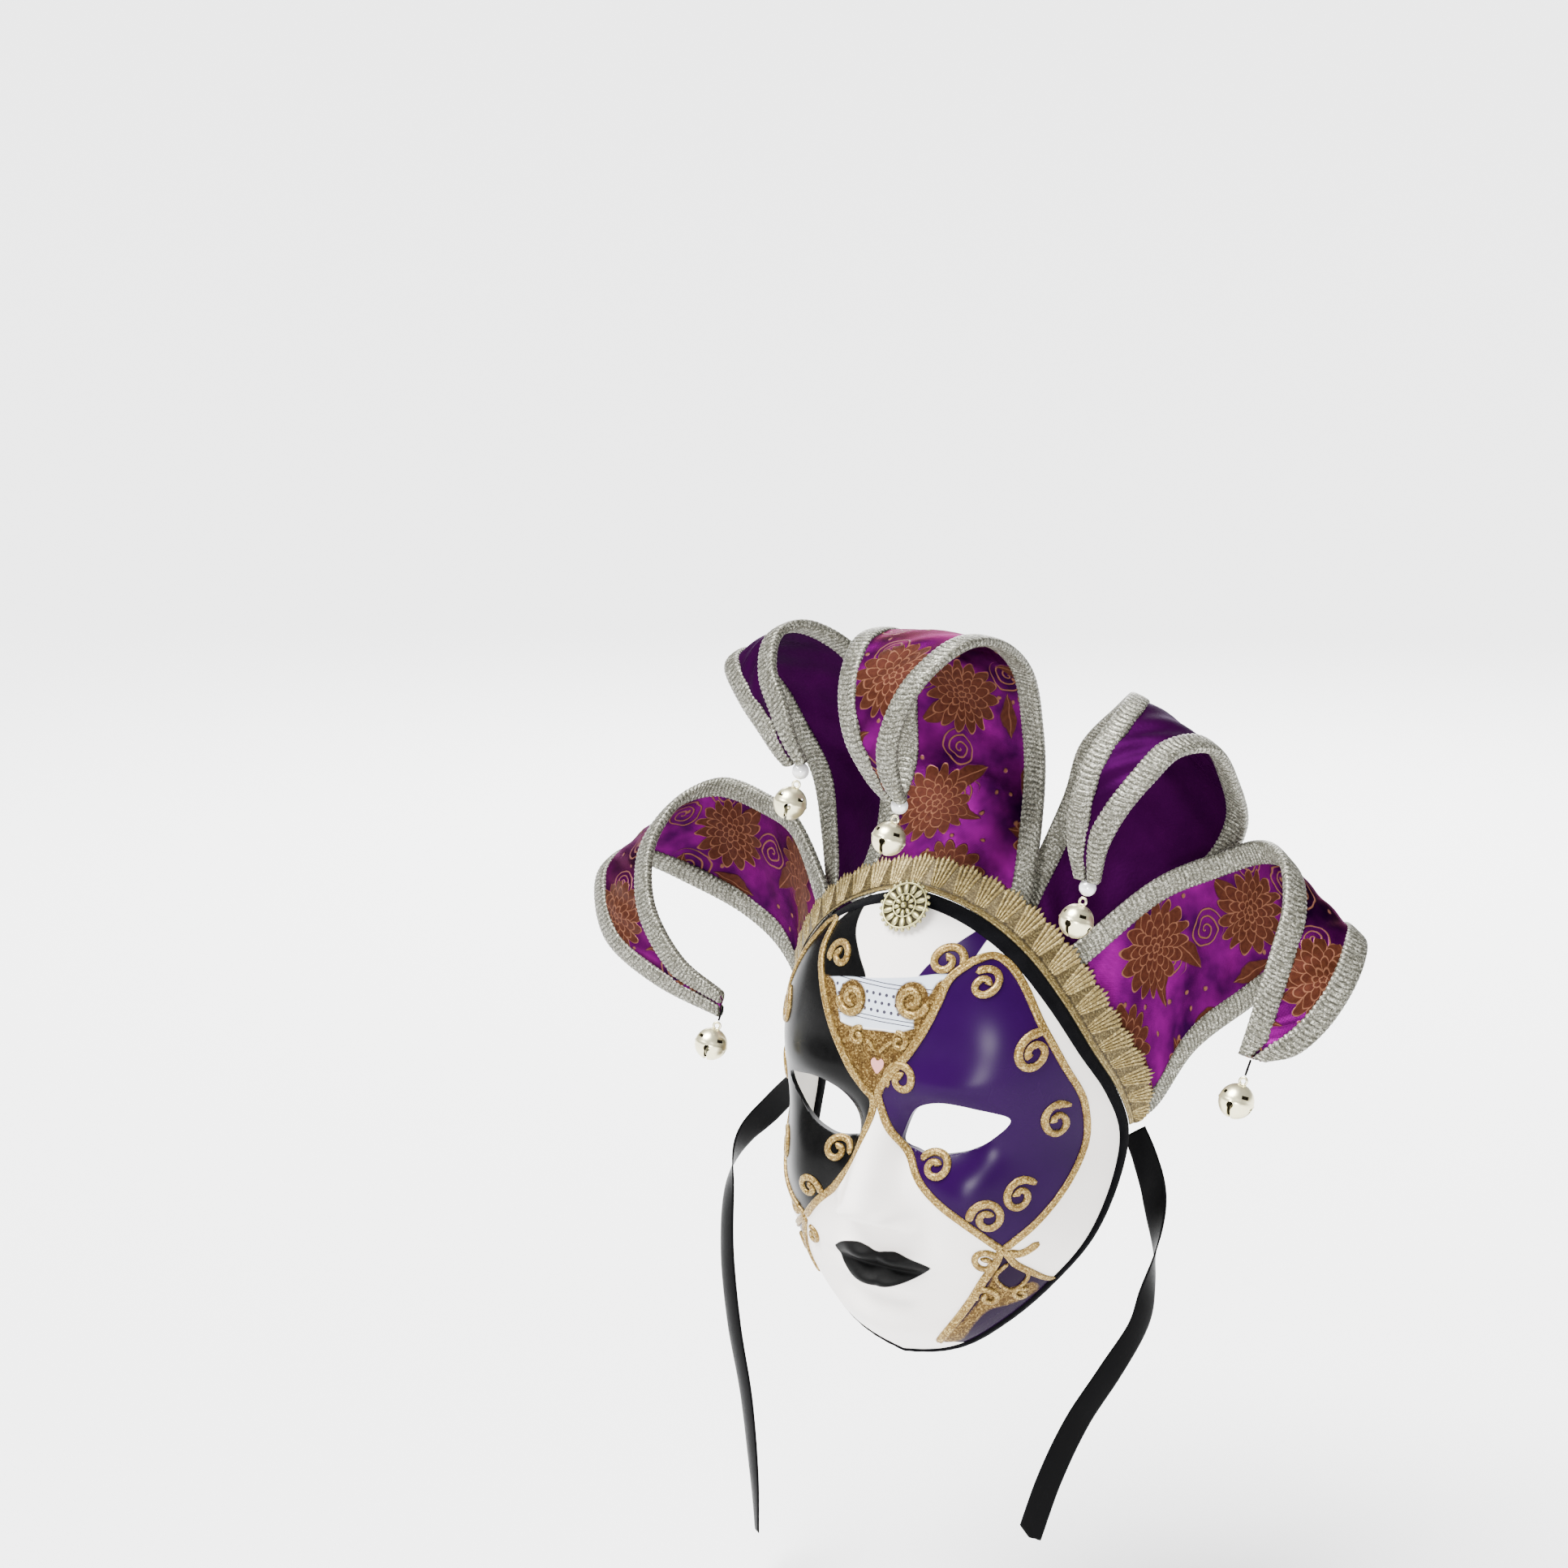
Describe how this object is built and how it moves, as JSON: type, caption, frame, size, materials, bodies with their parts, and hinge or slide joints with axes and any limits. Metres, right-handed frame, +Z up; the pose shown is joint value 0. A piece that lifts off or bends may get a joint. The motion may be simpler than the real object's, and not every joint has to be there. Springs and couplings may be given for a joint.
{
  "type": "jester mask",
  "caption": "Full-face carnival mask with curled cloth horns, edge braid, gold lace, bells on the horn tips and ribbon ties hanging from both temples.",
  "frame": {"origin": "on the midline at eye level, in the plane of the temples, where the wearer's face sits", "axes": "the face looks along -Y, +Z is up, +X is towards the viewer's right in the front view"},
  "size_m": [0.4163, 0.1322, 0.4925],
  "materials": {
    "painted_face": "glossy white paint with black and purple fields",
    "black_velvet": "black velvet tape",
    "gold_lace": "metallic gold lace",
    "silver_braid": "glittering silver gimp braid",
    "brocade": "purple brocade with copper figures",
    "plain_velvet": "dark purple cloth",
    "black_satin": "black satin",
    "pale_gold": "pale gold plating",
    "pearl": "silver-white pearl"
  },
  "bodies": {
    "root": {"face_shell": "painted_face", "rim_binding": "black_velvet", "gold_lace": "gold_lace", "brooch": "pale_gold", "horn_centre": "brocade", "braid_centre_a": "silver_braid", "braid_centre_b": "silver_braid", "bell_centre": "pale_gold", "horn_left_inner": "plain_velvet", "braid_left_inner_a": "silver_braid", "braid_left_inner_b": "silver_braid", "bell_left_inner": "pale_gold", "horn_right_inner": "plain_velvet", "braid_right_inner_a": "silver_braid", "braid_right_inner_b": "silver_braid", "bell_right_inner": "pale_gold", "horn_left_outer": "brocade", "braid_left_outer_a": "silver_braid", "braid_left_outer_b": "silver_braid", "bell_left_outer": "pale_gold", "horn_right_outer": "brocade", "braid_right_outer_a": "silver_braid", "braid_right_outer_b": "silver_braid", "bell_right_outer": "pale_gold", "bead_centre": "pearl", "bead_left_inner": "pearl", "bead_right_inner": "pearl", "thread_left_outer": "black_satin", "thread_right_outer": "black_satin", "ribbon_right": "black_satin", "ribbon_left": "black_satin"}
  },
  "joints": []
}
